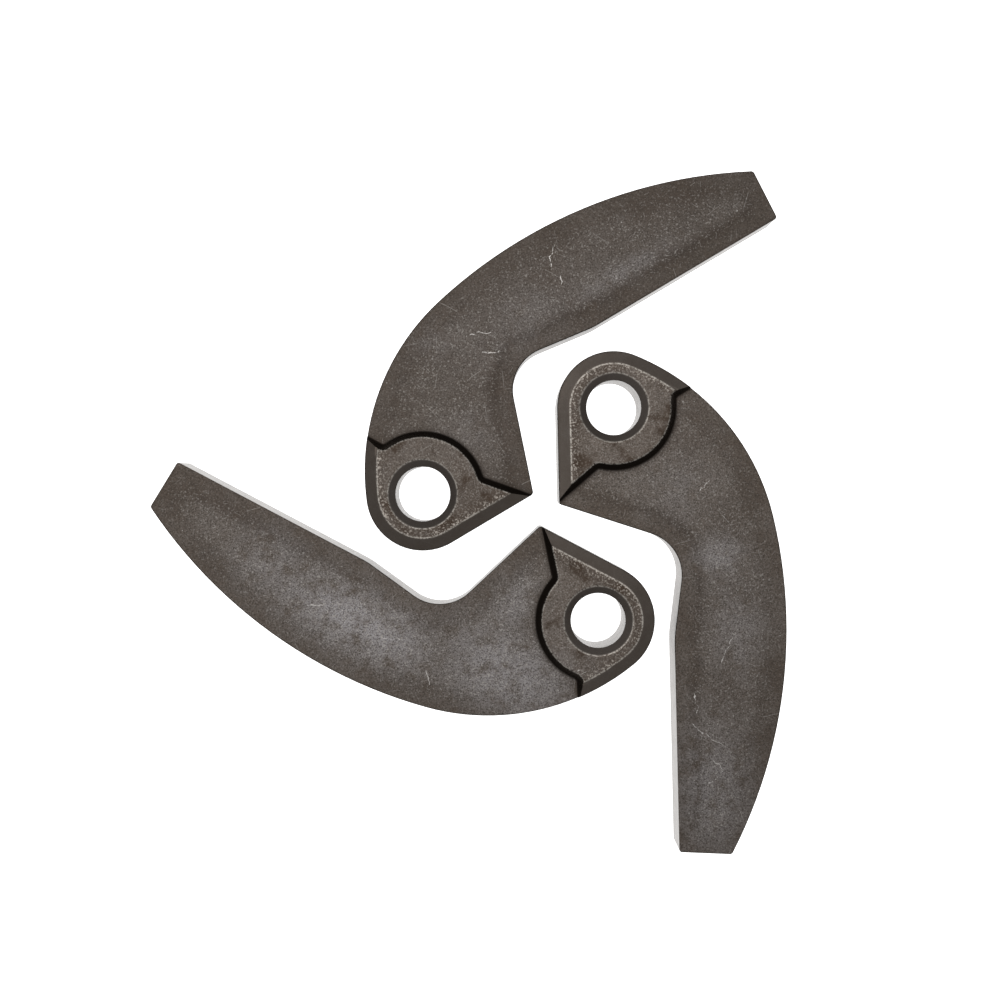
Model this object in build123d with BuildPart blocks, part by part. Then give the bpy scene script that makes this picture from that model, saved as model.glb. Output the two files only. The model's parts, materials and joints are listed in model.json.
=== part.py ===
from build123d import *
from math import acos, atan, cos, degrees, radians, sin
import os

# A set of three loose, one-piece gripper jaws of the same shape, laid out round a middle point.
# Each jaw is a curved lever: a bored eye with a raised pivot boss on both faces, a short heel
# that points to the middle of the set, and a long arm whose straight inner edge is the grip.
#
# Jaw frame: bore centre at the origin, +X along the arm, parallel to the grip edge.
# Row frame: +Z up along the bores, Z = 0 on the lower boss faces, origin in the middle of the set.

# Thicknesses and heights (mm)
ARM_THICKNESS = 7.0
BOSS_HEIGHT = 1.1          # how far the boss stands proud of the arm, on each face
EDGE_ROUND = 0.2           # rounding of the arm's edges and of the band's outer edge, on each face

# Pivot eye and bore (mm, degrees)
BORE_RADIUS = 4.0
COUNTERSINK_RADIUS = 5.05
COUNTERSINK_ANGLE = 100.0
EYE_RADIUS = 8.27
BOSS_TOP_RADIUS = 8.27     # flat top of the boss, on its arm side
BOSS_FOOT_RADIUS = 9.16    # where the boss's steep flank meets the arm
BOSS_BAND_WIDTH = 1.85     # sloping band between the jaw's edge and the boss's flat top
BAND_EDGE_HEIGHT = 0.4     # height of the band's outer edge above the arm
BORDER_MARGIN = 15.0       # angle by which the boss's border stops short of the crown

# Convex back of the jaw: two arcs, each tangent to the one before (mm, degrees in the jaw frame)
BACK_RADIUS = 33.8
BACK_END = 156.9           # where the back runs into the eye
CROWN_RADIUS = 71.4
CROWN_END = 102.2          # where the crown runs into the back

# Corners of the inner side (mm in the jaw frame) and their radii
HEEL = (13.9, -EYE_RADIUS)
THROAT = (20.27, 10.11)
BEND = (33.85, 8.18)
TIP = (65.2, 8.18)
TIP_ANGLE = 86.4
HEEL_RADIUS = 0.55
THROAT_RADIUS = 6.35
BEND_RADIUS = 12.0
TIP_RADIUS = 0.4
TIP_BACK_RADIUS = 0.6

# Ends of the boss's foot line on the arm side (mm and degrees in the jaw frame), and its corners' radius
FOOT_START = (-2.69, 11.4)
FOOT_START_ANGLE = 98.0
FOOT_END = (13.7, -EYE_RADIUS)
FOOT_END_ANGLE = -15.3
FOOT_CORNER_RADIUS = 0.6

# Where each jaw lies: bore centre (mm) and heading of its grip edge (degrees), in the row frame
JAWS = {
    "jaw_1": (-6.74, 2.74, 30.76),
    "jaw_2": (18.86, -15.71, 152.21),
    "jaw_3": (21.13, 15.34, -88.72),
}


def polar(radius, angle):
    """Point at a radius and an angle from the jaw's bore."""
    return Vector(radius * cos(radians(angle)), radius * sin(radians(angle)))


def back_centre():
    return polar(EYE_RADIUS - BACK_RADIUS, BACK_END)


def crown_centre():
    return back_centre() + polar(BACK_RADIUS - CROWN_RADIUS, CROWN_END)


def crown_start():
    """Angle on the crown's circle at which the straight tip edge meets it."""
    square_to_tip = polar(1, TIP_ANGLE - 90)
    reach = square_to_tip.dot(Vector(*TIP) - crown_centre())
    return TIP_ANGLE - 90 + degrees(acos(reach / CROWN_RADIUS))


def jaw_outline(plane):
    """The jaw's outline: convex back, eye, heel, throat, grip edge and tip, with its corners rounded."""
    start = crown_start()
    with BuildSketch(plane) as outline:
        with BuildLine():
            crown = CenterArc(crown_centre(), CROWN_RADIUS, start, CROWN_END - start)
            CenterArc(back_centre(), BACK_RADIUS, CROWN_END, BACK_END - CROWN_END)
            eye = CenterArc((0, 0), EYE_RADIUS, BACK_END, 270 - BACK_END)
            Polyline(eye @ 1, HEEL, THROAT, BEND, TIP, crown @ 0)
        make_face()
        for corner, radius in [
            (HEEL, HEEL_RADIUS),
            (THROAT, THROAT_RADIUS),
            (BEND, BEND_RADIUS),
            (TIP, TIP_RADIUS),
            (crown @ 0, TIP_BACK_RADIUS),
        ]:
            fillet(outline.vertices().sort_by_distance(corner)[0], radius)
    return outline.sketch


def eye_border(plane):
    """The jaw's outline round the eye, closed well over on the arm side."""
    start = CROWN_END + BORDER_MARGIN
    with BuildSketch(plane) as border:
        with BuildLine():
            back = CenterArc(back_centre(), BACK_RADIUS, start, BACK_END - start)
            eye = CenterArc((0, 0), EYE_RADIUS, BACK_END, 270 - BACK_END)
            Polyline(eye @ 1, (2 * HEEL[0], -EYE_RADIUS), back @ 0)
        make_face()
    return border.sketch


def boss_foot(plane):
    """The boss's foot line on the arm side, closed well outside the eye on the other sides."""
    beyond = -2 * EYE_RADIUS
    with BuildSketch(plane) as region:
        with BuildLine():
            foot = CenterArc((0, 0), BOSS_FOOT_RADIUS, FOOT_END_ANGLE, FOOT_START_ANGLE - FOOT_END_ANGLE)
            upper = Vector(*FOOT_START) + (Vector(*FOOT_START) - foot @ 1)
            lower = Vector(*FOOT_END) + (Vector(*FOOT_END) - foot @ 0)
            Polyline(foot @ 1, upper, (beyond, upper.Y), (beyond, lower.Y), lower, foot @ 0)
        make_face()
        for corner in (foot @ 0, foot @ 1):
            fillet(region.vertices().sort_by_distance(corner)[0], FOOT_CORNER_RADIUS)
    return region.sketch


def make_jaw(label, x, y, heading):
    """One jaw: the upper half is built on its middle plane, then mirrored."""
    along = (cos(radians(heading)), sin(radians(heading)), 0)
    middle = Plane(origin=(x, y, BOSS_HEIGHT + ARM_THICKNESS / 2), x_dir=along, z_dir=(0, 0, 1))
    arm_face = middle.offset(ARM_THICKNESS / 2)
    band_edge = arm_face.offset(BAND_EDGE_HEIGHT)
    boss_face = arm_face.offset(BOSS_HEIGHT)
    band_rise = BOSS_HEIGHT - BAND_EDGE_HEIGHT
    band_slope = degrees(atan(BOSS_BAND_WIDTH / band_rise))
    flank_slope = degrees(atan((BOSS_FOOT_RADIUS - BOSS_TOP_RADIUS) / BOSS_HEIGHT))

    with BuildPart() as boss_side:
        extrude(boss_foot(middle), amount=ARM_THICKNESS / 2)
        extrude(boss_foot(arm_face), amount=BOSS_HEIGHT, taper=flank_slope)

    with BuildPart() as boss:
        extrude(eye_border(middle), amount=ARM_THICKNESS / 2 + BAND_EDGE_HEIGHT)
        extrude(eye_border(band_edge), amount=band_rise, taper=band_slope)
        edge_height = band_edge.origin.Z
        fillet(boss.edges().filter_by_position(Axis.Z, edge_height, edge_height), EDGE_ROUND)
        add(boss_side.part, mode=Mode.INTERSECT)

    with BuildPart() as jaw:
        extrude(jaw_outline(middle), amount=ARM_THICKNESS / 2)
        heel_reach = extrude(jaw_outline(middle), amount=ARM_THICKNESS, mode=Mode.PRIVATE)
        fillet(jaw.faces().sort_by(Axis.Z)[-1].edges(), EDGE_ROUND)
        add(boss.part.intersect(heel_reach))
        with Locations(boss_face):
            CounterSinkHole(BORE_RADIUS, COUNTERSINK_RADIUS, counter_sink_angle=COUNTERSINK_ANGLE)
        mirror(about=middle)

    jaw.part.label = label
    return jaw


os.makedirs("parts", exist_ok=True)
for name, place in JAWS.items():
    piece = make_jaw(name, *place)
    export_step(piece.part, f"parts/{name}.step")
    print(name, round(piece.part.volume, 1), piece.part.is_valid, len(piece.part.solids()))
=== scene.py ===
import json
from math import ceil, exp, pi, radians
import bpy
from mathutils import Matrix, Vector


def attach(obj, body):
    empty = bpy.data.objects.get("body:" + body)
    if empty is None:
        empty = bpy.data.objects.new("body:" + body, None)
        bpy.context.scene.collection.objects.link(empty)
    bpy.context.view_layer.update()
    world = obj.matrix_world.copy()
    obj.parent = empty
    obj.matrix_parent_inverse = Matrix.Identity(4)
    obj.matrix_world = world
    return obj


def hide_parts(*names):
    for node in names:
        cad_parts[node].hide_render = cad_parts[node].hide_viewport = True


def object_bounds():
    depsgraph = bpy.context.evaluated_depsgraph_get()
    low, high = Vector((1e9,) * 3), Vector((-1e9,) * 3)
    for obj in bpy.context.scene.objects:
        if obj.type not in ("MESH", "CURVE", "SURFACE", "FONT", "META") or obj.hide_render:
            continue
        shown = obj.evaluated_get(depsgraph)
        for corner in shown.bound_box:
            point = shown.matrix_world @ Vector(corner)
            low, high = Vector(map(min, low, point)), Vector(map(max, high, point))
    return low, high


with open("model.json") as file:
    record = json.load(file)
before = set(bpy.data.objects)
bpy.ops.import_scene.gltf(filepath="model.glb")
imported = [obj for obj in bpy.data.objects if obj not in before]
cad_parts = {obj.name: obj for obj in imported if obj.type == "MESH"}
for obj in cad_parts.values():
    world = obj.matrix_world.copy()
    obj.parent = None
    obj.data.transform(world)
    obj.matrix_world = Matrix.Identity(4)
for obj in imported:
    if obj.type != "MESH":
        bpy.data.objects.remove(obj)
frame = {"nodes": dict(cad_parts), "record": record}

from types import SimpleNamespace

import bmesh
import bpy
from mathutils import Vector, noise
from mathutils.bvhtree import BVHTree
from mathutils.kdtree import KDTree

cad_low, cad_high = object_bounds()
MM = 0.001
JAW_NAMES = ("jaw_1", "jaw_2", "jaw_3")
MIDDLE_HEIGHT = cad_high.z / 2

# The view: straight down, from a hand's breadth above the jaws
ARM_FACE_HEIGHT = 8.1 * MM
VIEW_WIDTH = 146.12 * MM  # what the frame spans at the height of the arms' faces
VIEW_HEIGHT = 194 * MM  # of the lens above the arms' faces
VIEW_CENTRE = (4.53 * MM, 1.86 * MM)
LENS_OFFSET = 2.92 * MM  # the lens stands this much past the centre along +Y, and shift takes it back
SENSOR = 36.0

# Light and floor
FLOOR_SIZE = 4.0
FLOOR_PAINT = (0.9, 0.9, 0.9, 1)
FLOOR_GLOW = 1.3  # keeps the floor white in the picture
SKY_STRENGTH = 0.62  # overhead
HORIZON = (0.3, 0.3, 0.3, 1)  # against white overhead
SOFTBOX_PLACE = (-0.08, 0.16, 0.8)
SOFTBOX_SIZE = 0.7
SOFTBOX_POWER = 2.0

# How far a face's normal rises, from 0 on an upright face to 1 on a level one
UPRIGHT = 0.05
STEEPEST_FLANK = 0.3
STEEPEST_BAND = 0.8
LEVEL = 0.99
DEAD_LEVEL = 0.999

# The jaws' relief
BORE_REACH = 5.4 * MM  # faces nearer to the bore's axis than this belong to the bore and its countersink
BOSS_REACH = 17 * MM  # and no face farther than this belongs to the boss
ROUND_REACH = 0.25 * MM  # faces nearer to the outline than this belong to its rounding
ARM_GAP = 1.1 * MM  # the arms' faces lie this far inside the boss faces
CREST_SOFTNESS = 0.20 * MM  # reach of the rounding on each side of the boss's edges
FOOT_SOFTNESS = 0.18 * MM  # and of the hollow along the boss's foot
CREASE = radians(12)  # edges flatter than this are left alone
LINE_SPACING = 0.05 * MM  # of the points kept along the crests and the foot
WELD = 0.001 * MM  # points nearer to each other than this are one
FLATNESS = radians(0.3)  # faces that bend less than this are one
GRID = 0.5 * MM  # every face is cut along a grid of this spacing
SNAP = 0.0001 * MM  # a point nearer to a cut than this is on it
SHARP = radians(30)  # edges of more than this stay sharp in the shading
ARM_LEVEL = 3.5 * MM  # the arms' faces lie this far from the middle of the jaws' height
MARGIN_DEPTH = 0.05 * MM  # the arm's face is this much lower along its inner edge
MARGIN_START = 3.6 * MM
MARGIN_END = 2.2 * MM
CALM_START = 0.1 * MM  # the waves and the grain fade out over this stretch towards the outline
CALM_END = 0.6 * MM
WAVE_DEPTH = 0.018 * MM
WAVE_LENGTH = 5.0 * MM
GRAIN_DEPTH = 0.006 * MM
GRAIN_LENGTH = 1.1 * MM

# What is painted on the points of the mesh for the material, in millimetres or from 0 to 1:
# the distance to the outline, the rubbed patches with their painted sheen, the stripe of painted shade, the
# boss's crests and its foot, where shade is painted
PAINTED = ("edge_gap", "rub", "stripe", "crest", "foot")
# The stripe is painted shade, where the arm's face slopes down towards its edge
STRIPE_GAP = 2.9  # from the outline to the middle of the stripe (mm)
STRIPE_REACH = 0.9  # from there to where it fades (mm)
STRIPE_WANDER = 0.7  # how far it strays to either side (mm)
STRIPE_WAVE = 4 * MM  # how long its strays are
OUTER_STRIPE = 0.35  # how strong the stripe is along the outer edge, against the inner edge
SHADE_REACH = 0.9 * MM  # how far the painted shade along the boss's foot spreads
RUB_AND_SHEEN_HEIGHT = 4.4 * MM  # the rubbed patches, with their painted sheen, reach down to this height
LOWER_RUB_AND_SHEEN = 0.2  # how strongly everything below it is rubbed and painted with sheen

# Regions of a jaw's surface, kept on each face for the material
ARM, BOSS, BAND, FLANK, SINK, WALL = range(6)

# Painted light: how much lighter each jaw's steel is painted than jaw_1's, for the brighter light that falls
# on it
PAINTED_LIGHT_TONES = {"jaw_1": 1.0, "jaw_2": 1.15, "jaw_3": 1.22}

# Colours of the steel. The first four are those of jaw_1, and are painted lighter on the others as painted
# light.
COAT_BROWN = (0.070, 0.056, 0.046)
COAT_GREY = (0.124, 0.108, 0.097)
SMOOTH_BROWN = (0.086, 0.068, 0.056)
SMOOTH_GREY = (0.122, 0.108, 0.096)
# Rubbed wear, partly painted sheen
RUBBED_AND_SHEEN = (0.300, 0.285, 0.288)
# Painted shade along the stripe
STRIPE_SHADE = (0.040, 0.029, 0.022)
# Painted shade along the boss's foot
FOOT_SHADE = (0.030, 0.024, 0.020)
# Painted shade on the boss's flank
FLANK_SHADE = (0.026, 0.020, 0.016)
BLOTCH = (0.045, 0.031, 0.022)
PIT = (0.040, 0.033, 0.027)
FLECK = (0.30, 0.28, 0.26)
DOT = (0.40, 0.38, 0.36)
SPECK = (0.40, 0.36, 0.32)
SCRATCH = (0.45, 0.43, 0.41)
WORN_CREST = (0.55, 0.51, 0.46)
SINK_METAL = (0.24, 0.21, 0.19)
# Painted reflection: the walls are painted pale for the bright floor they reflect
PALE_WALL_REFLECTION = (0.26, 0.25, 0.24)
BOSS_METAL = (0.24, 0.18, 0.14)

# Rubbed patches, partly real wear and partly painted sheen, on each jaw's upper face, in its own frame: x,
# y, reach along, reach across (mm), strength
RUBS_AND_SHEENS = {
    "jaw_1": [(42, 12.8, 9, 1.6, 0.3), (25, 14, 8, 4, 0.15), (13, 18, 3, 2, 0.2), (10, 4, 3, 4, 0.15)],
    "jaw_2": [(31, 16.5, 12, 4.5, 1.0), (8, 13, 10, 6, 0.8), (12, 4, 3, 5, 0.5), (46, 15, 6, 5, 0.4)],
    "jaw_3": [(22, 15, 3, 3.5, 0.6), (12, 9, 5, 4, 0.2), (33, 17, 7, 4, 0.35), (56, 13, 10, 6, 0.5)],
}

# Long scratches on each jaw's upper face, in its own frame: runs of points (mm)
STROKES = {
    "jaw_1": [
        [(33.0, 18.9), (33.7, 20.4), (35.1, 21.4)],
        [(32.9, 15.9), (33.5, 17.2)],
        [(17.4, 16.6), (20.6, 15.3)],
        [(18.2, 13.4), (20.5, 12.0)],
    ],
    "jaw_2": [
        [(24.0, 15.9), (27.0, 17.0)],
        [(17.2, 19.6), (18.9, 18.3)],
        [(36.6, 16.9), (38.4, 17.7)],
        [(-1.9, 7.2), (-1.3, 8.3)],
        [(-0.9, 7.5), (-0.5, 8.2)],
    ],
    "jaw_3": [
        [(46.2, 10.3), (48.4, 12.6), (49.7, 15.2)],
        [(51.6, 13.4), (53.4, 14.9), (55.3, 12.7)],
        [(42.0, 11.0), (45.0, 11.3)],
        [(10.9, 13.8), (12.5, 12.3)],
        [(33.4, 17.0), (37.4, 14.9)],
    ],
}
STROKE_WIDTH = 0.07  # from a scratch's middle to where it ends (mm)


def make_camera():
    """A camera that looks straight down, with a little shift for the lens's place."""
    data = bpy.data.cameras.new("camera")
    data.sensor_width = SENSOR
    data.lens = SENSOR * VIEW_HEIGHT / VIEW_WIDTH
    data.shift_y = -LENS_OFFSET / VIEW_WIDTH
    data.clip_start = 0.01
    data.clip_end = 20
    camera = bpy.data.objects.new("camera", data)
    camera.location = (VIEW_CENTRE[0], VIEW_CENTRE[1] + LENS_OFFSET, ARM_FACE_HEIGHT + VIEW_HEIGHT)
    bpy.context.collection.objects.link(camera)
    bpy.context.scene.camera = camera


def make_softbox():
    """A large soft lamp above the jaws, turned towards their middle."""
    data = bpy.data.lights.new("softbox", "AREA")
    data.shape = "RECTANGLE"
    data.size = SOFTBOX_SIZE
    data.size_y = SOFTBOX_SIZE
    data.energy = SOFTBOX_POWER
    light = bpy.data.objects.new("softbox", data)
    light.location = SOFTBOX_PLACE
    light.rotation_mode = "QUATERNION"
    light.rotation_quaternion = (-Vector(SOFTBOX_PLACE)).to_track_quat("-Z", "Y")
    bpy.context.collection.objects.link(light)


def add_node(tree, kind, inputs=None, **settings):
    """Adds a node, sets its properties, and gives its inputs values or links."""
    node = tree.nodes.new("ShaderNode" + kind)
    for key, value in settings.items():
        setattr(node, key, value)
    for key, value in (inputs or {}).items():
        if isinstance(value, bpy.types.NodeSocket):
            tree.links.new(value, node.inputs[key])
        else:
            node.inputs[key].default_value = value
    return node


def make_world():
    """Soft light that is brightest overhead and falls off towards the horizon."""
    world = bpy.data.worlds.new("studio")
    world.use_nodes = True
    tree = world.node_tree
    background = tree.nodes["Background"]
    direction = add_node(tree, "TexCoord").outputs["Generated"]
    split = add_node(tree, "SeparateXYZ", {"Vector": direction})
    ramp = add_node(tree, "ValToRGB", {"Fac": split.outputs["Z"]})
    ramp.color_ramp.elements[0].color = HORIZON
    tree.links.new(ramp.outputs["Color"], background.inputs["Color"])
    background.inputs["Strength"].default_value = SKY_STRENGTH
    bpy.context.scene.world = world


def make_floor():
    """A wide pale floor under the jaws, white in the picture and soft in the shadows."""
    half = FLOOR_SIZE / 2
    mesh = bpy.data.meshes.new("floor")
    corners = [(-half, -half, 0), (half, -half, 0), (half, half, 0), (-half, half, 0)]
    mesh.from_pydata(corners, [], [(0, 1, 2, 3)])
    floor = bpy.data.objects.new("floor", mesh)
    bpy.context.collection.objects.link(floor)
    paint = bpy.data.materials.new("floor_white")
    paint.use_nodes = True
    shader = paint.node_tree.nodes["Principled BSDF"]
    shader.inputs["Base Color"].default_value = FLOOR_PAINT
    shader.inputs["Roughness"].default_value = 0.6
    shader.inputs["Specular IOR Level"].default_value = 0.2
    shader.inputs["Emission Color"].default_value = (1, 1, 1, 1)
    shader.inputs["Emission Strength"].default_value = FLOOR_GLOW
    mesh.materials.append(paint)


# The material


def maths(tree, operation, first, second=0.0, clamp=False):
    """One operation on two values."""
    return add_node(tree, "Math", {0: first, 1: second}, operation=operation, use_clamp=clamp).outputs[0]


def smooth(tree, value, low, high):
    """0 below low, 1 above high, smooth between."""
    inputs = {"Value": value, "From Min": low, "From Max": high}
    return add_node(tree, "MapRange", inputs, interpolation_type="SMOOTHSTEP").outputs["Result"]


def spread(tree, value, low, high):
    """A 0 to 1 value taken to the range from low to high."""
    return add_node(tree, "MapRange", {"Value": value, "To Min": low, "To Max": high}).outputs["Result"]


def noise_value(tree, place, size, detail=2.0, rough=0.5):
    """Noise with blobs of about size, in millimetres."""
    inputs = {"Vector": place, "Scale": 1 / size, "Detail": detail, "Roughness": rough}
    return add_node(tree, "TexNoise", inputs).outputs["Fac"]


def blend_colour(tree, factor, first, second):
    """first where factor is 0, second where it is 1; a plain colour is a tuple."""
    inputs = {0: factor}
    for key, colour in ((6, first), (7, second)):
        inputs[key] = colour if isinstance(colour, bpy.types.NodeSocket) else (*colour, 1)
    return add_node(tree, "Mix", inputs, data_type="RGBA").outputs[2]


def scratch_layer(tree, place, cell, length, width, share):
    """Short straight scratches at random places and angles, about one to a cell, on a share of the cells."""
    bend_rate = 0.35 / cell
    bend_reach = 0.35 * cell
    bent = add_node(tree, "TexNoise", {"Vector": place, "Scale": bend_rate})
    bend = add_node(tree, "VectorMath", {0: bent.outputs["Color"], "Scale": bend_reach}, operation="SCALE")
    warped = add_node(tree, "VectorMath", {0: place, 1: bend.outputs[0]}, operation="ADD").outputs[0]
    flat = add_node(tree, "VectorMath", {0: warped, 1: (1, 1, 0)}, operation="MULTIPLY").outputs[0]
    cells = add_node(tree, "TexVoronoi", {"Vector": flat, "Scale": 1 / cell}, feature="F1")
    middle = cells.outputs["Position"]
    offset = add_node(tree, "VectorMath", {0: flat, 1: middle}, operation="SUBTRACT").outputs[0]
    chance = add_node(tree, "SeparateColor", {0: cells.outputs["Color"]})
    turn = maths(tree, "MULTIPLY", chance.outputs[0], 2 * pi)
    turned = add_node(tree, "VectorRotate", {"Vector": offset, "Angle": turn}, rotation_type="Z_AXIS")
    split = add_node(tree, "SeparateXYZ", {"Vector": turned.outputs[0]})
    along = smooth(tree, maths(tree, "ABSOLUTE", split.outputs["X"]), length / 2, length / 4)
    across = smooth(tree, maths(tree, "ABSOLUTE", split.outputs["Y"]), width, width / 3)
    chosen = maths(tree, "LESS_THAN", chance.outputs[1], share)
    depth = spread(tree, chance.outputs[2], 0.35, 1.0)
    mark = maths(tree, "MULTIPLY", maths(tree, "MULTIPLY", along, across), chosen)
    return maths(tree, "MULTIPLY", mark, depth)


def stroke(tree, flat, start, end):
    """A thin straight mark from start to end, in millimetres."""
    run = Vector((*end, 0)) - Vector((*start, 0))
    offset = add_node(tree, "VectorMath", {0: flat, 1: (*start, 0)}, operation="SUBTRACT").outputs[0]
    share = add_node(tree, "VectorMath", {0: offset, 1: run / run.length_squared}, operation="DOT_PRODUCT")
    share = maths(tree, "ADD", share.outputs["Value"], 0.0, clamp=True)
    nearest = add_node(tree, "VectorMath", {0: run, "Scale": share}, operation="SCALE").outputs[0]
    away = add_node(tree, "VectorMath", {0: offset, 1: nearest}, operation="DISTANCE").outputs["Value"]
    return smooth(tree, away, STROKE_WIDTH, STROKE_WIDTH / 4)


def long_scratches(tree, place, name):
    """The jaw's own long scratches, bent a little and broken up, on its upper face alone."""
    wobble_rate = 0.9
    wobble_reach = 1.2
    upper_depth = 0.5
    wobble = add_node(tree, "TexNoise", {"Vector": place, "Scale": wobble_rate})
    inputs = {0: wobble.outputs["Color"], 1: (0.5, 0.5, 0.5)}
    shift = add_node(tree, "VectorMath", inputs, operation="SUBTRACT")
    bend = add_node(tree, "VectorMath", {0: shift.outputs[0], "Scale": wobble_reach}, operation="SCALE")
    bent = add_node(tree, "VectorMath", {0: place, 1: bend.outputs[0]}, operation="ADD").outputs[0]
    flat = add_node(tree, "VectorMath", {0: bent, 1: (1, 1, 0)}, operation="MULTIPLY").outputs[0]
    origin, along, across = jaw_frame(name)
    marks = 0.0
    for points in STROKES[name]:
        placed = [(origin / MM + along * x + across * y) for x, y in points]
        for start, end in zip(placed, placed[1:]):
            marks = maths(tree, "MAXIMUM", marks, stroke(tree, flat, start, end))
    height = add_node(tree, "SeparateXYZ", {"Vector": place}).outputs["Z"]
    upper = maths(tree, "GREATER_THAN", height, ARM_FACE_HEIGHT / MM - upper_depth)
    broken = smooth(tree, noise_value(tree, place, 0.5), 0.35, 0.6)
    return maths(tree, "MULTIPLY", maths(tree, "MULTIPLY", marks, upper), broken)


def sparks(tree, place, cell, size, share):
    """Tiny bright dots at random places, about one to a cell, on a share of the cells."""
    cells = add_node(tree, "TexVoronoi", {"Vector": place, "Scale": 1 / cell}, feature="F1")
    chance = add_node(tree, "SeparateColor", {0: cells.outputs["Color"]})
    reach = spread(tree, chance.outputs[0], size / cell / 3, size / cell)
    dot = maths(tree, "LESS_THAN", cells.outputs["Distance"], reach)
    return maths(tree, "MULTIPLY", dot, maths(tree, "LESS_THAN", chance.outputs[1], share))


def inside(tree, on, code):
    """1 on the faces of one region, 0 on the others."""
    tolerance = 0.4
    inputs = {0: on.region, 1: float(code), 2: tolerance}
    return add_node(tree, "Math", inputs, operation="COMPARE").outputs[0]


def painted_light_tone(colour, name):
    """A colour of jaw_1's, painted lighter by this jaw's painted light."""
    return Vector(colour) * PAINTED_LIGHT_TONES[name]


def shared_values(tree):
    """What the steel's layers share: the place in millimetres, what is painted on the mesh, and noise."""
    coordinates = add_node(tree, "TexCoord").outputs["Object"]
    on = SimpleNamespace()
    on.place = add_node(tree, "VectorMath", {0: coordinates, "Scale": 1 / MM}, operation="SCALE").outputs[0]
    for attribute in ("region", *PAINTED):
        setattr(on, attribute, add_node(tree, "Attribute", attribute_name=attribute).outputs["Fac"])
    on.clouds = noise_value(tree, on.place, 7.0, 4.0, 0.6)
    on.patches = noise_value(tree, on.place, 2.2, 4.0, 0.65)
    on.grain = noise_value(tree, on.place, 0.22, 2.0, 0.8)
    on.flecks = noise_value(tree, on.place, 0.25, 1.0, 0.5)
    # middle rises from 0 near the outline to 1 inside it; it carries the painted shade along the edges
    wander = spread(tree, on.patches, -2.0, 2.0)
    on.middle = smooth(tree, maths(tree, "ADD", on.edge_gap, wander), 0.5, 4.5)
    # Rubbed wear, partly painted sheen
    on.rubbed = maths(tree, "MULTIPLY", on.rub, smooth(tree, on.patches, 0.25, 0.6))
    on.smooth_face = maths(tree, "ADD", inside(tree, on, BAND), inside(tree, on, SINK))
    return on


def coat_colour(tree, on, name):
    """The coat's broad tone: browner along the edges and darker along the stripe as painted shade, grey
    where it is rubbed and painted with sheen.
    """
    # Painted shade: darker and browner towards the edges, lighter in the middle
    tone = maths(tree, "ADD", spread(tree, on.clouds, -0.2, 0.75), maths(tree, "MULTIPLY", on.middle, 0.2))
    tone = maths(tree, "ADD", tone, spread(tree, on.patches, -0.25, 0.25))
    coat = blend_colour(tree, smooth(tree, tone, 0.0, 0.9), painted_light_tone(COAT_BROWN, name), painted_light_tone(COAT_GREY, name))
    # Painted shade along the stripe, patchy
    shaded_stripe = maths(tree, "MULTIPLY", on.stripe, spread(tree, on.patches, 0.1, 1.0))
    coat = blend_colour(tree, shaded_stripe, coat, STRIPE_SHADE)
    # Rubbed wear with painted sheen
    return blend_colour(tree, on.rubbed, coat, RUBBED_AND_SHEEN)


def add_grain(tree, on, colour):
    """Adds fine grain: dark pits, pale flecks and a few bright dots."""
    pits = smooth(tree, on.grain, 0.62, 0.30)
    colour = blend_colour(tree, maths(tree, "MULTIPLY", pits, 0.85), colour, PIT)
    pale = smooth(tree, on.flecks, 0.54, 0.80)
    # Pale flecks are denser in the lighter middle and on the rubbed, sheen-painted patches
    pale = maths(tree, "MULTIPLY", pale, maths(tree, "ADD", spread(tree, on.middle, 0.25, 0.6), on.rubbed))
    colour = blend_colour(tree, pale, colour, FLECK)
    crowded = maths(tree, "ADD", smooth(tree, on.clouds, 0.5, 0.7), on.rubbed)
    dots = maths(tree, "MULTIPLY", sparks(tree, on.place, 0.9, 0.15, 0.2), crowded)
    return blend_colour(tree, dots, colour, DOT)


def short_scratches(tree, on):
    """Two sizes of short scratches, broken up by the grain."""
    fine = scratch_layer(tree, on.place, 1.5, 1.0, 0.035, 0.3)
    broad = scratch_layer(tree, on.place, 5.0, 3.5, 0.045, 0.3)
    return maths(tree, "MULTIPLY", maths(tree, "MAXIMUM", fine, broad), spread(tree, on.grain, 0.1, 1.0))


def colour_regions(tree, on, name, colour):
    """Makes the band and the countersink smooth, paints the walls pale as a painted reflection, and paints
    shade along the boss's foot and near-black shade on its flank.
    """
    patchy = spread(tree, on.patches, 0.1, 0.9)
    calm = blend_colour(tree, patchy, painted_light_tone(SMOOTH_BROWN, name), painted_light_tone(SMOOTH_GREY, name))
    calm = blend_colour(tree, maths(tree, "MULTIPLY", inside(tree, on, SINK), 0.5), calm, SINK_METAL)
    colour = blend_colour(tree, maths(tree, "MULTIPLY", on.smooth_face, 0.8), colour, calm)
    # Painted reflection: the walls are painted pale
    colour = blend_colour(tree, maths(tree, "MULTIPLY", inside(tree, on, WALL), 0.5), colour, PALE_WALL_REFLECTION)
    # Painted shade along the boss's foot
    foot_shade = maths(tree, "MULTIPLY", maths(tree, "POWER", on.foot, 1.5), 0.7)
    colour = blend_colour(tree, foot_shade, colour, FOOT_SHADE)
    # Painted shade: the flank is painted near black
    return blend_colour(tree, inside(tree, on, FLANK), colour, FLANK_SHADE)


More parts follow.
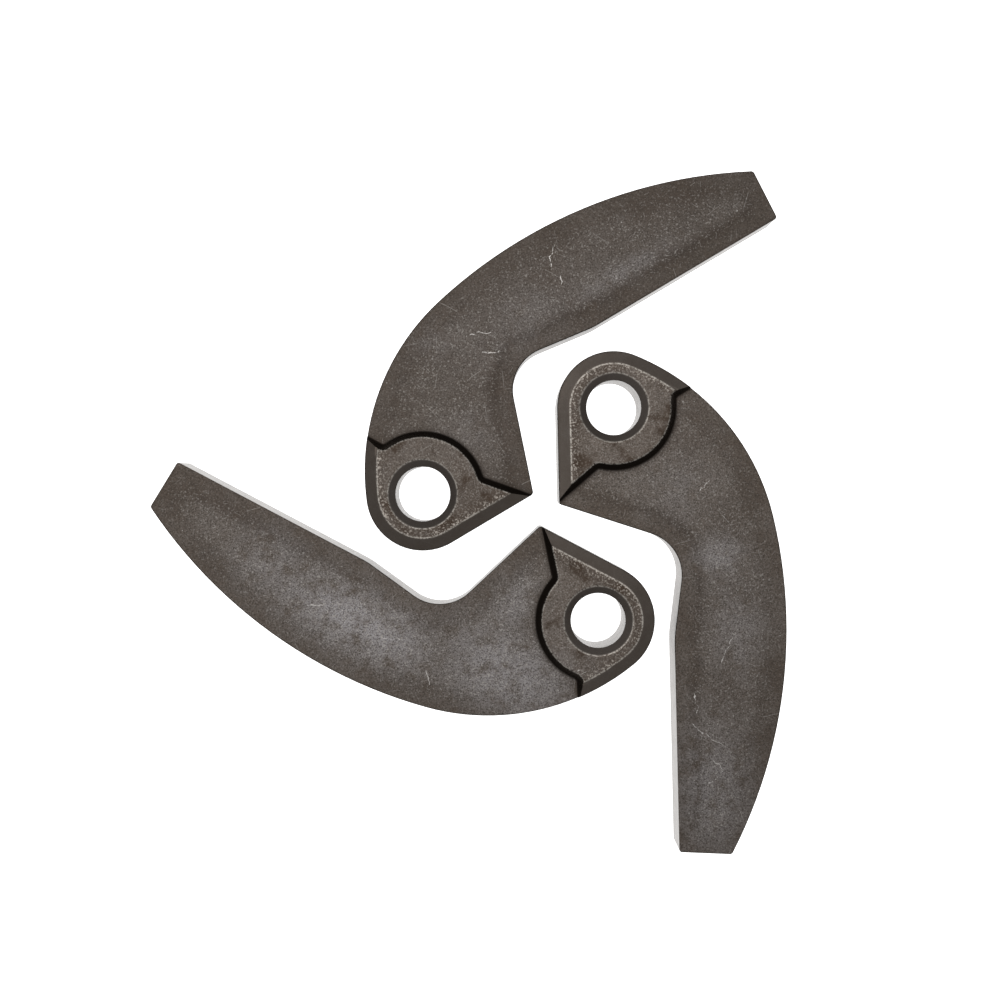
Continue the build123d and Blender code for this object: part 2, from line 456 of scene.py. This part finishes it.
def colour_boss(tree, on, colour):
    """Gives the boss's top brown blotches and bright specks near its rim, and wears its crests unevenly."""
    top = inside(tree, on, BOSS)
    near_rim = maths(tree, "MULTIPLY", top, spread(tree, smooth(tree, on.edge_gap, 3.6, 2.0), 0.15, 0.9))
    specks = smooth(tree, noise_value(tree, on.place, 0.26, 1.0), 0.52, 0.72)
    blotches = smooth(tree, noise_value(tree, on.place, 3.0, 2.0), 0.52, 0.68)
    blotches = maths(tree, "MULTIPLY", maths(tree, "MULTIPLY", top, blotches), 0.8)
    colour = blend_colour(tree, maths(tree, "MULTIPLY", top, 0.06), colour, BOSS_METAL)
    colour = blend_colour(tree, blotches, colour, BLOTCH)
    colour = blend_colour(tree, maths(tree, "MULTIPLY", specks, near_rim), colour, SPECK)
    uneven = maths(tree, "MULTIPLY", smooth(tree, on.flecks, 0.30, 0.60), spread(tree, on.patches, 0.4, 1.2))
    worn = maths(tree, "MULTIPLY", smooth(tree, on.crest, 0.0, 1.0), uneven)
    return blend_colour(tree, worn, colour, WORN_CREST)


def roughness(tree, on, marks):
    """Patchy roughness, glossier on the marks, on the smooth faces and on the walls."""
    value = spread(tree, on.patches, 0.36, 0.54)
    for mask, drop in ((marks, 0.12), (on.smooth_face, 0.06), (inside(tree, on, WALL), 0.08)):
        value = maths(tree, "SUBTRACT", value, maths(tree, "MULTIPLY", mask, drop))
    return value


def bumps(tree, on, scratches):
    """Fine relief: grain with scratches cut into it, faint on the smooth faces."""
    height = maths(tree, "ADD", on.grain, maths(tree, "MULTIPLY", on.flecks, 0.6))
    height = maths(tree, "SUBTRACT", height, maths(tree, "MULTIPLY", scratches, 0.5))
    height = maths(tree, "MULTIPLY", height, spread(tree, on.smooth_face, 1.0, 0.25))
    bump = add_node(tree, "Bump", {"Height": height, "Strength": 0.6, "Distance": 0.02 * MM})
    return bump.outputs["Normal"]


def dark_steel(name):
    """Heat-darkened steel with a fine grain, rubbed lighter in patches that are partly painted sheen,
    painted with shade in places, and worn bright on its crests.
    """
    material = bpy.data.materials.new("dark_steel_" + name)
    material.use_nodes = True
    tree = material.node_tree
    shader = tree.nodes["Principled BSDF"]
    on = shared_values(tree)
    scratches = short_scratches(tree, on)
    faint = maths(tree, "MULTIPLY", scratches, 0.6)
    marks = maths(tree, "MAXIMUM", faint, long_scratches(tree, on.place, name))
    colour = add_grain(tree, on, coat_colour(tree, on, name))
    colour = blend_colour(tree, marks, colour, SCRATCH)
    colour = colour_regions(tree, on, name, colour)
    colour = colour_boss(tree, on, colour)
    tree.links.new(colour, shader.inputs["Base Color"])
    tree.links.new(roughness(tree, on, marks), shader.inputs["Roughness"])
    tree.links.new(bumps(tree, on, scratches), shader.inputs["Normal"])
    shader.inputs["Metallic"].default_value = 1.0
    return material


# The jaws' finer meshes


def mount(name):
    """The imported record's mount of this name."""
    return next(m for m in frame["record"]["mounts"] if m["name"] == name)


def jaw_frame(name):
    """The jaw's own frame, seen from above: its bore's axis, the way along its arm and the way across."""
    origin = Vector(mount(name + "_bore")["pos_m"]).xy
    grip = Vector(mount(name + "_grip_face")["axis"]).xy.normalized()
    return origin, Vector((-grip.y, grip.x)), -grip


def region_of(face, origin, gap):
    """Which part of the jaw's surface a CAD face belongs to."""
    centre = face.calc_center_median()
    reach = (centre.xy - origin).length
    upward = abs(face.normal.z)
    if reach < BORE_REACH and upward < LEVEL:
        return SINK if upward > UPRIGHT else WALL
    if upward > LEVEL:
        inner = min(centre.z - cad_low.z, cad_high.z - centre.z)
        return BOSS if inner < ARM_GAP / 2 else ARM
    if upward < STEEPEST_FLANK:
        return WALL
    if gap < ROUND_REACH or reach > BOSS_REACH:
        return ARM
    return BAND if upward > STEEPEST_BAND else FLANK


def cut_finely(bm, spacing):
    """Cuts every face along an even grid, so that it can take relief without losing an edge."""
    for axis in range(3):
        normal = Vector((0, 0, 0))
        normal[axis] = 1
        low = min(v.co[axis] for v in bm.verts)
        high = max(v.co[axis] for v in bm.verts)
        for line in range(ceil(low / spacing), ceil(high / spacing)):
            parts = bm.verts[:] + bm.edges[:] + bm.faces[:]
            place = normal * line * spacing
            bmesh.ops.bisect_plane(bm, geom=parts, plane_co=place, plane_no=normal, dist=SNAP)


def edges_between(bm, region, pairs):
    """The creased edges of a level face whose two faces belong to one of the pairs of regions."""
    found = []
    for edge in bm.edges:
        level = any(abs(face.normal.z) > DEAD_LEVEL for face in edge.link_faces)
        if level and edge.calc_face_angle(0) > CREASE:
            if {round(face[region]) for face in edge.link_faces} in pairs:
                found.append(edge)
    return found


def points_along(edges):
    """A search tree of close points along some edges."""
    points = []
    for edge in edges:
        start, end = edge.verts
        count = ceil(edge.calc_length() / LINE_SPACING)
        points += [start.co.lerp(end.co, k / count) for k in range(count + 1)]
    tree = KDTree(len(points))
    for index, point in enumerate(points):
        tree.insert(point, index)
    tree.balance()
    return tree


def soften_edges(bm, region):
    """Rounds the boss's crests and the hollow along its foot; gives where the crests and the foot ran."""
    hollows = edges_between(bm, region, [{ARM, FLANK}])
    foot = points_along(hollows)
    bmesh.ops.bevel(bm, geom=hollows, offset=FOOT_SOFTNESS, segments=3, profile=0.5, affect="EDGES")
    bm.normal_update()
    crests = edges_between(bm, region, [{BOSS, BAND}, {BOSS, FLANK}, {BOSS, SINK}])
    crest = points_along(crests)
    bmesh.ops.bevel(bm, geom=crests, offset=CREST_SOFTNESS, segments=4, profile=0.5, affect="EDGES")
    return crest, foot


def step(value, low, high):
    """0 below low, 1 above high, smooth between."""
    share = min(1.0, max(0.0, (value - low) / (high - low)))
    return share * share * (3 - 2 * share)


def relief(vert, gap):
    """How far a point of a forged face lies below the ideal face."""
    depth = WAVE_DEPTH * (1 + noise.noise(vert.co / WAVE_LENGTH)) / 2
    depth += GRAIN_DEPTH * (1 + noise.noise(vert.co / GRAIN_LENGTH)) / 2
    return depth * step(gap, CALM_START, CALM_END)


def margin(vert, gap, inner):
    """How far the arm's face and its rounding are lowered along the inner edge."""
    level = abs(vert.co.z - MIDDLE_HEIGHT)
    if abs(level - ARM_LEVEL) > ROUND_REACH:
        return 0.0
    return MARGIN_DEPTH * inner * step(gap, MARGIN_START, MARGIN_END)


def rubbed(name, x, y):
    """How strongly the jaw's upper face is rubbed and painted with sheen at a point of the jaw's own frame,
    in millimetres.
    """
    return max(s * exp(-(((x - cx) / rx) ** 2) - ((y - cy) / ry) ** 2) for cx, cy, rx, ry, s in RUBS_AND_SHEENS[name])


def outline_walls(bm, origin):
    """The jaw's outer walls, for measuring how far a point lies from the outline."""
    bm.verts.index_update()
    walls = [f for f in bm.faces if abs(f.normal.z) < UPRIGHT]
    walls = [f for f in walls if (f.calc_center_median().xy - origin).length > BORE_REACH]
    corners = [[v.index for v in f.verts] for f in walls]
    return BVHTree.FromPolygons([v.co.copy() for v in bm.verts], corners)


def paint_and_dent(bm, name, walls, crest, foot):
    """Keeps what the material needs on each point, then gives the faces their relief."""
    origin, along, across = jaw_frame(name)
    layers = {layer: bm.verts.layers.float.new(layer) for layer in PAINTED}
    bm.normal_update()
    moves = []
    for vert in bm.verts:
        normal, gap = walls.find_nearest(vert.co)[1::2]
        facing = -normal.xy.dot(across)  # 1 where the nearest wall is an inner one, -1 at the back
        inner = step(facing, -0.2, 0.6)
        offset = (vert.co.xy - origin) / MM
        patch = rubbed(name, offset.dot(along), offset.dot(across))
        # The stripe: painted shade where the arm's face slopes down towards the outline
        wander = gap / MM + STRIPE_WANDER * noise.noise(vert.co / STRIPE_WAVE)
        stripe = exp(-(((wander - STRIPE_GAP) / STRIPE_REACH) ** 2))
        vert[layers["edge_gap"]] = gap / MM
        # Rubbed wear, partly painted sheen
        vert[layers["rub"]] = patch if vert.co.z > RUB_AND_SHEEN_HEIGHT else LOWER_RUB_AND_SHEEN
        vert[layers["stripe"]] = stripe * (OUTER_STRIPE + (1 - OUTER_STRIPE) * inner)
        vert[layers["crest"]] = max(0.0, 1 - crest.find(vert.co)[2] / CREST_SOFTNESS)
        # Painted shade along the boss's foot follows this
        vert[layers["foot"]] = max(0.0, 1 - foot.find(vert.co)[2] / SHADE_REACH)
        if offset.length > BORE_REACH / MM:
            lowering = Vector((0, 0, margin(vert, gap, inner)))
            if vert.co.z < MIDDLE_HEIGHT:
                lowering.negate()
            moves.append((vert, vert.normal * relief(vert, gap) + lowering))
    for vert, move in moves:
        vert.co -= move


def finer_jaw(name):
    """A finer copy of the CAD jaw, with softened boss edges and the small relief of a forged surface."""
    bm = bmesh.new()
    bm.from_mesh(frame["nodes"][name].data)
    bmesh.ops.remove_doubles(bm, verts=bm.verts, dist=WELD)
    bmesh.ops.dissolve_limit(bm, angle_limit=FLATNESS, verts=bm.verts, edges=bm.edges)
    bm.normal_update()
    origin = jaw_frame(name)[0]
    walls = outline_walls(bm, origin)
    region = bm.faces.layers.float.new("region")
    for face in bm.faces:
        gap = walls.find_nearest(face.calc_center_median())[3]
        face[region] = region_of(face, origin, gap)
    crest, foot = soften_edges(bm, region)
    cut_finely(bm, GRID)
    paint_and_dent(bm, name, walls, crest, foot)
    for edge in bm.edges:
        edge.smooth = edge.calc_face_angle(0) < SHARP
    for face in bm.faces:
        face.smooth = True
    mesh = bpy.data.meshes.new(name + "_forged")
    bm.to_mesh(mesh)
    bm.free()
    mesh.materials.append(dark_steel(name))
    jaw = bpy.data.objects.new(name + "_forged", mesh)
    bpy.context.collection.objects.link(jaw)
    jaw.modifiers.new("weighted", "WEIGHTED_NORMAL").keep_sharp = True
    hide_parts(name)
    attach(jaw, name)


make_camera()
make_world()
make_softbox()
make_floor()
for jaw_name in JAW_NAMES:
    finer_jaw(jaw_name)

scene = bpy.context.scene
scene.view_settings.view_transform = "Standard"
scene.view_settings.look = "None"
